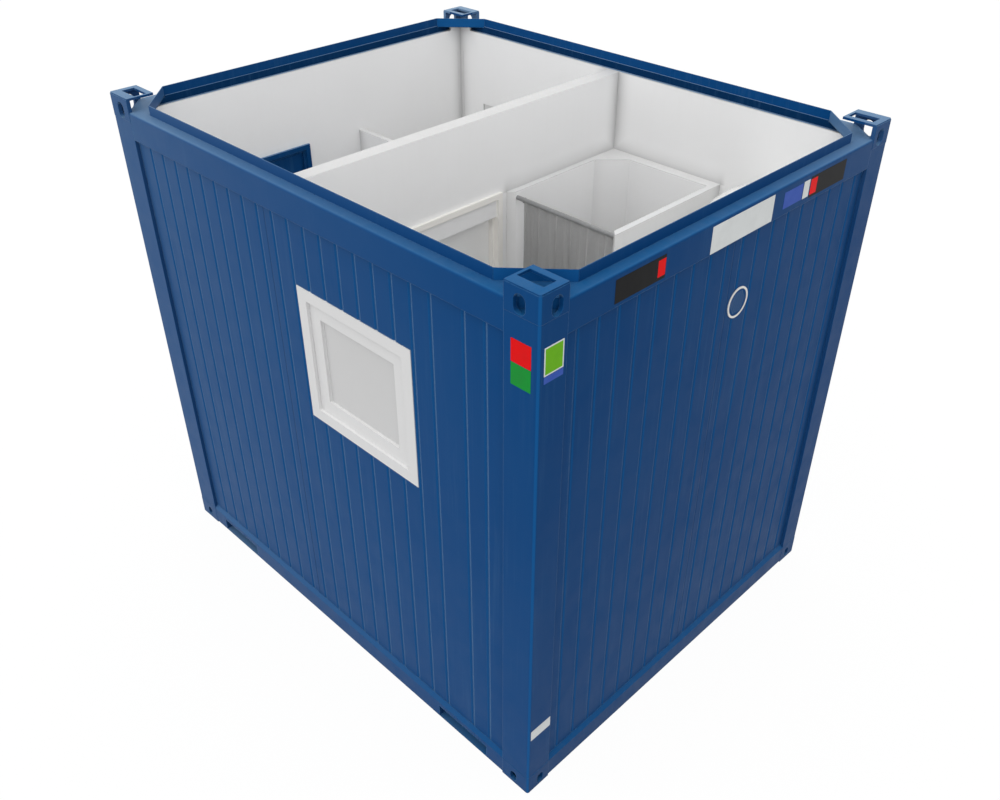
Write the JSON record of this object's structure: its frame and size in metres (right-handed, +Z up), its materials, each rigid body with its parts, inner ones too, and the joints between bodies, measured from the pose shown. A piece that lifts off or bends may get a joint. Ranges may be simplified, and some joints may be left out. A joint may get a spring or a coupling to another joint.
{
  "type": "sanitary container",
  "caption": "Blue steel sanitary cabin with ribbed walls, corner castings, window, vent, doors, shower cabin, toilet, washbasin and water heater, shown without its roof.",
  "frame": {"origin": "centre of the base, on the ground under the corner castings", "axes": "+Z up, +X along the long walls towards the end wall with the vent, -Y towards the long wall whose window the picture shows"},
  "size_m": [2.989, 2.435, 2.8],
  "materials": {
    "frame_blue": "satin",
    "panel_blue": "satin",
    "galvanised": "satin",
    "lining_cream": "satin",
    "floor_vinyl": "matte",
    "door_beige": "satin",
    "door_white": "satin",
    "window_white": "satin",
    "window_pane": "gloss",
    "cabin_white": "gloss",
    "curtain_cloth": "matte",
    "chrome": "polished",
    "ceramic": "gloss",
    "seat_plastic": "gloss",
    "heater_enamel": "gloss",
    "dark_plastic": "matte",
    "vent_white": "satin",
    "vent_blue": "satin"
  },
  "bodies": {
    "container": {"floor_rails_long": "frame_blue", "floor_rails_short": "frame_blue", "floor_cross_members": "galvanised", "fork_tunnels": "frame_blue", "underfloor_sheets": "galvanised", "bottom_castings": "frame_blue", "corner_posts": "frame_blue", "roof_rails_long": "frame_blue", "roof_rails_short": "frame_blue", "gutter_corners": "frame_blue", "top_castings": "frame_blue", "plain_panels": "panel_blue", "window_panels": "panel_blue", "vent_panel": "panel_blue", "door_panel": "panel_blue", "long_wall_linings": "lining_cream", "end_wall_linings": "lining_cream", "corner_trims": "lining_cream", "floor_deck": "floor_vinyl", "partition": "lining_cream", "cubicle_wall": "lining_cream", "outer_door_frame": "frame_blue", "inner_door_frame": "door_beige", "door_hinge_pins": "galvanised", "window_frames": "window_white", "vent_ring": "vent_white", "vent_grille": "vent_blue", "shower_tray": "cabin_white", "shower_walls": "cabin_white", "curtain_rod": "chrome", "shower_curtain": "curtain_cloth", "shower_valve": "chrome", "shower_pipe": "chrome", "toilet_pan": "ceramic", "toilet_cistern": "ceramic", "washbasin": "ceramic", "basin_tap": "chrome", "basin_trap": "chrome", "water_heater": "heater_enamel", "water_pipes": "chrome"},
    "outer_door": {"outer_door_leaf": "frame_blue"},
    "outer_lever": {"outer_door_lever": "chrome"},
    "inner_door": {"inner_door_leaf": "door_white"},
    "inner_lever": {"inner_door_lever": "chrome"},
    "wc_door": {"wc_door_leaf": "door_white"},
    "wc_lever": {"wc_door_lever": "chrome"},
    "front_window": {"front_sash": "window_white", "front_pane": "window_pane"},
    "front_handle": {"front_window_handle": "window_white"},
    "back_window": {"back_sash": "window_white", "back_pane": "window_pane"},
    "back_handle": {"back_window_handle": "window_white"},
    "seat": {"toilet_seat": "seat_plastic"},
    "lid": {"toilet_lid": "seat_plastic"},
    "flush": {"flush_button": "chrome"},
    "tap_push": {"tap_button": "chrome"},
    "shower_push": {"shower_button": "chrome"},
    "dial": {"heater_dial": "dark_plastic"},
    "curtain": {"curtain_edge": "curtain_cloth"}
  },
  "joints": [
    {"name": "outer_door_swing", "type": "hinge", "parent": "container", "child": "outer_door", "pos_m": [-1.4605, -0.9665, 1.2], "axis": [0, 0, 1], "range_deg": [0, 105]},
    {"name": "outer_lever_turn", "type": "hinge", "parent": "outer_door", "child": "outer_lever", "pos_m": [-1.4325, -0.219, 1.21], "axis": [1, 0, 0], "range_deg": [0, 40], "stiffness_Nm_per_rad": 1.2, "springref_deg": -8.59},
    {"name": "inner_door_swing", "type": "hinge", "parent": "container", "child": "inner_door", "pos_m": [-0.1805, -0.6645, 1.2], "axis": [0, 0, 1], "range_deg": [0, 110]},
    {"name": "inner_lever_turn", "type": "hinge", "parent": "inner_door", "child": "inner_lever", "pos_m": [-0.152, 0.08, 1.21], "axis": [1, 0, 0], "range_deg": [0, 40], "stiffness_Nm_per_rad": 1.2, "springref_deg": -8.59},
    {"name": "wc_door_swing", "type": "hinge", "parent": "container", "child": "wc_door", "pos_m": [-0.8285, 0.2445, 1.2], "axis": [0, 0, -1], "range_deg": [0, 100]},
    {"name": "wc_lever_turn", "type": "hinge", "parent": "wc_door", "child": "wc_lever", "pos_m": [-0.268, 0.268, 1.21], "axis": [0, -1, 0], "range_deg": [0, 40], "stiffness_Nm_per_rad": 1.2, "springref_deg": -8.59},
    {"name": "front_window_tilt", "type": "hinge", "parent": "container", "child": "front_window", "pos_m": [0.376, -1.122, 1.584], "axis": [-1, 0, 0], "range_deg": [0, 18]},
    {"name": "front_handle_turn", "type": "hinge", "parent": "front_window", "child": "front_handle", "pos_m": [0.674, -1.1225, 1.893], "axis": [0, 1, 0], "range_deg": [0, 90]},
    {"name": "back_window_tilt", "type": "hinge", "parent": "container", "child": "back_window", "pos_m": [-0.795, 1.122, 1.584], "axis": [1, 0, 0], "range_deg": [0, 18]},
    {"name": "back_handle_turn", "type": "hinge", "parent": "back_window", "child": "back_handle", "pos_m": [-0.497, 1.1225, 1.893], "axis": [0, 1, 0], "range_deg": [0, 90]},
    {"name": "seat_swing", "type": "hinge", "parent": "container", "child": "seat", "pos_m": [-1.1925, 0.701, 0.574], "axis": [0, -1, 0], "range_deg": [0, 90]},
    {"name": "lid_swing", "type": "hinge", "parent": "container", "child": "lid", "pos_m": [-1.1925, 0.701, 0.574], "axis": [0, -1, 0], "range_deg": [-96, 0]},
    {"name": "flush_press", "type": "slide", "parent": "container", "child": "flush", "axis": [0, 0, -1], "range_m": [0, 0.006], "stiffness_N_per_m": 400, "springref_m": -0.003},
    {"name": "tap_press", "type": "slide", "parent": "container", "child": "tap_push", "axis": [0, 0, -1], "range_m": [0, 0.005], "stiffness_N_per_m": 400, "springref_m": -0.003},
    {"name": "shower_press", "type": "slide", "parent": "container", "child": "shower_push", "axis": [1, 0, 0], "range_m": [0, 0.005], "stiffness_N_per_m": 400, "springref_m": -0.003},
    {"name": "dial_turn", "type": "hinge", "parent": "container", "child": "dial", "pos_m": [1.085, 0.7105, 1.5], "axis": [0, 0, 1], "range_deg": [0, 270]},
    {"name": "curtain_draw", "type": "slide", "parent": "container", "child": "curtain", "axis": [1, 0, 0], "range_m": [0, 0.45], "deforming": ["shower_curtain"]}
  ]
}
